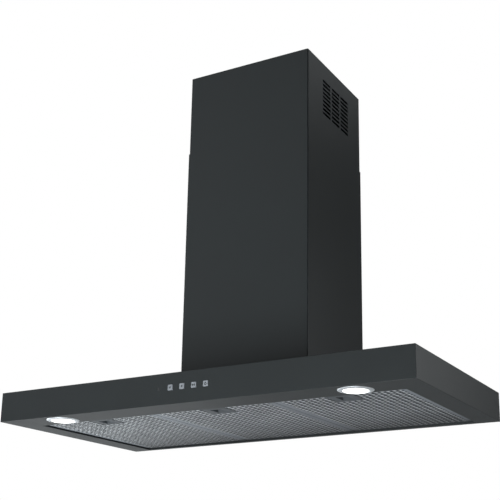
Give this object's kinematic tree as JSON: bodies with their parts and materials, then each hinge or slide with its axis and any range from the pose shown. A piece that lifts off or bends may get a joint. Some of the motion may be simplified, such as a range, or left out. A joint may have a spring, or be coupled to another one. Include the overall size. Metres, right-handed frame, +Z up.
{
  "type": "chimney range hood",
  "caption": "Wall-hung chimney range hood: flat slab canopy with grease filters, lamps and push buttons below a telescopic chimney cover over the blower.",
  "frame": {"origin": "on the wall plane, at mid width, level with the underside of the canopy", "axes": "+Y into the wall, -Y towards the room, +Z up, +X to the right as seen from the room"},
  "size_m": [1, 0.5062, 0.8802],
  "materials": {
    "black_paint": "matt black powder coat on folded steel",
    "galvanised_steel": "galvanised sheet",
    "zinc_screw": "zinc plated",
    "bright_steel": "ground steel rod",
    "spring_steel": "spring steel",
    "motor_body": "cast housing",
    "cast_aluminium": "cast, dark",
    "filter_aluminium": "rolled sheet, satin",
    "mesh_aluminium": "stamped mesh",
    "latch_plastic": "grey moulded",
    "latch_slide": "dark moulded",
    "black_plastic": "moulded, matt",
    "grey_plastic": "moulded, matt",
    "silver_plastic": "silver lacquer",
    "satin_nickel": "satin nickel plate",
    "frosted_lens": "frosted, translucent",
    "dark_lens": "smoked",
    "circuit_board": "solder resist",
    "wire_sheath": "grey sheath"
  },
  "bodies": {
    "hood": {"canopy_shell": "black_paint", "back_panel": "black_paint", "lower_chimney_cover": "black_paint", "blower_box": "galvanised_steel", "box_screws": "zinc_screw", "chimney_screws": "zinc_screw", "collar_screws": "zinc_screw", "outlet_collar": "black_plastic", "left_fan_casing": "black_plastic", "right_fan_casing": "black_plastic", "motor": "motor_body", "motor_bracket": "galvanised_steel", "capacitor": "grey_plastic", "damper_pins": "bright_steel", "terminal_box": "black_plastic", "cable_gland": "grey_plastic", "power_box": "black_plastic", "wiring_loom": "wire_sheath", "switch_housing": "black_plastic", "switch_board": "circuit_board", "indicator_lens": "dark_lens", "lamp_clips": "spring_steel", "left_lamp_bezel": "satin_nickel", "left_lamp_lens": "frosted_lens", "left_lamp_body": "cast_aluminium", "right_lamp_bezel": "satin_nickel", "right_lamp_lens": "frosted_lens", "right_lamp_body": "cast_aluminium"},
    "upper_chimney": {"upper_chimney_cover": "black_paint", "ceiling_bracket": "galvanised_steel", "bracket_screws": "zinc_screw", "air_deflector": "black_plastic", "deflector_spigot": "black_plastic"},
    "fan_rotor": {"impeller": "grey_plastic", "impeller_nut": "zinc_screw", "motor_shaft": "bright_steel"},
    "left_flap": {"left_damper_flap": "black_plastic"},
    "right_flap": {"right_damper_flap": "black_plastic"},
    "stop_button": {"stop_button": "silver_plastic"},
    "low_speed_button": {"low_speed_button": "silver_plastic"},
    "high_speed_button": {"high_speed_button": "silver_plastic"},
    "light_button": {"light_button": "silver_plastic"},
    "left_filter": {"left_filter_frame": "filter_aluminium", "left_face_mesh": "mesh_aluminium", "left_mesh_pack": "mesh_aluminium", "left_latch_plate": "latch_plastic", "left_latch_spring": "spring_steel"},
    "left_latch": {"left_latch_bolt": "latch_slide"},
    "middle_filter": {"middle_filter_frame": "filter_aluminium", "middle_face_mesh": "mesh_aluminium", "middle_mesh_pack": "mesh_aluminium", "middle_latch_plate": "latch_plastic", "middle_latch_spring": "spring_steel"},
    "middle_latch": {"middle_latch_bolt": "latch_slide"},
    "right_filter": {"right_filter_frame": "filter_aluminium", "right_face_mesh": "mesh_aluminium", "right_mesh_pack": "mesh_aluminium", "right_latch_plate": "latch_plastic", "right_latch_spring": "spring_steel"},
    "right_latch": {"right_latch_bolt": "latch_slide"}
  },
  "joints": [
    {"name": "upper_chimney_slide", "type": "slide", "parent": "hood", "child": "upper_chimney", "axis": [0, 0, 1], "range_m": [-0.15, 0.25]},
    {"name": "fan_spin", "type": "hinge", "parent": "hood", "child": "fan_rotor", "pos_m": [0, -0.105, 0.172], "axis": [1, 0, 0], "continuous": true},
    {"name": "left_flap_hinge", "type": "hinge", "parent": "hood", "child": "left_flap", "pos_m": [-0.005, -0.166, 0.338], "axis": [0, 1, 0], "range_deg": [0, 80]},
    {"name": "right_flap_hinge", "type": "hinge", "parent": "hood", "child": "right_flap", "pos_m": [0.005, -0.166, 0.338], "axis": [0, -1, 0], "range_deg": [0, 80]},
    {"name": "stop_button_press", "type": "slide", "parent": "hood", "child": "stop_button", "axis": [0, 1, 0], "range_m": [0, 0.002], "stiffness_N_per_m": 500, "springref_m": -0.002},
    {"name": "low_speed_button_press", "type": "slide", "parent": "hood", "child": "low_speed_button", "axis": [0, 1, 0], "range_m": [0, 0.002], "stiffness_N_per_m": 500, "springref_m": -0.002},
    {"name": "high_speed_button_press", "type": "slide", "parent": "hood", "child": "high_speed_button", "axis": [0, 1, 0], "range_m": [0, 0.002], "stiffness_N_per_m": 500, "springref_m": -0.002},
    {"name": "light_button_press", "type": "slide", "parent": "hood", "child": "light_button", "axis": [0, 1, 0], "range_m": [0, 0.002], "stiffness_N_per_m": 500, "springref_m": -0.002},
    {"name": "left_filter_hinge", "type": "hinge", "parent": "hood", "child": "left_filter", "pos_m": [-0.2975, -0.0115, 0.0053], "axis": [1, 0, 0], "range_deg": [0, 60]},
    {"name": "left_latch_slide", "type": "slide", "parent": "left_filter", "child": "left_latch", "axis": [0, 1, 0], "range_m": [0, 0.008], "stiffness_N_per_m": 300, "springref_m": -0.01, "deforming": ["left_latch_spring"]},
    {"name": "middle_filter_hinge", "type": "hinge", "parent": "hood", "child": "middle_filter", "pos_m": [0, -0.0115, 0.0053], "axis": [1, 0, 0], "range_deg": [0, 60]},
    {"name": "middle_latch_slide", "type": "slide", "parent": "middle_filter", "child": "middle_latch", "axis": [0, 1, 0], "range_m": [0, 0.008], "stiffness_N_per_m": 300, "springref_m": -0.01, "deforming": ["middle_latch_spring"]},
    {"name": "right_filter_hinge", "type": "hinge", "parent": "hood", "child": "right_filter", "pos_m": [0.2975, -0.0115, 0.0053], "axis": [1, 0, 0], "range_deg": [0, 60]},
    {"name": "right_latch_slide", "type": "slide", "parent": "right_filter", "child": "right_latch", "axis": [0, 1, 0], "range_m": [0, 0.008], "stiffness_N_per_m": 300, "springref_m": -0.01, "deforming": ["right_latch_spring"]}
  ]
}
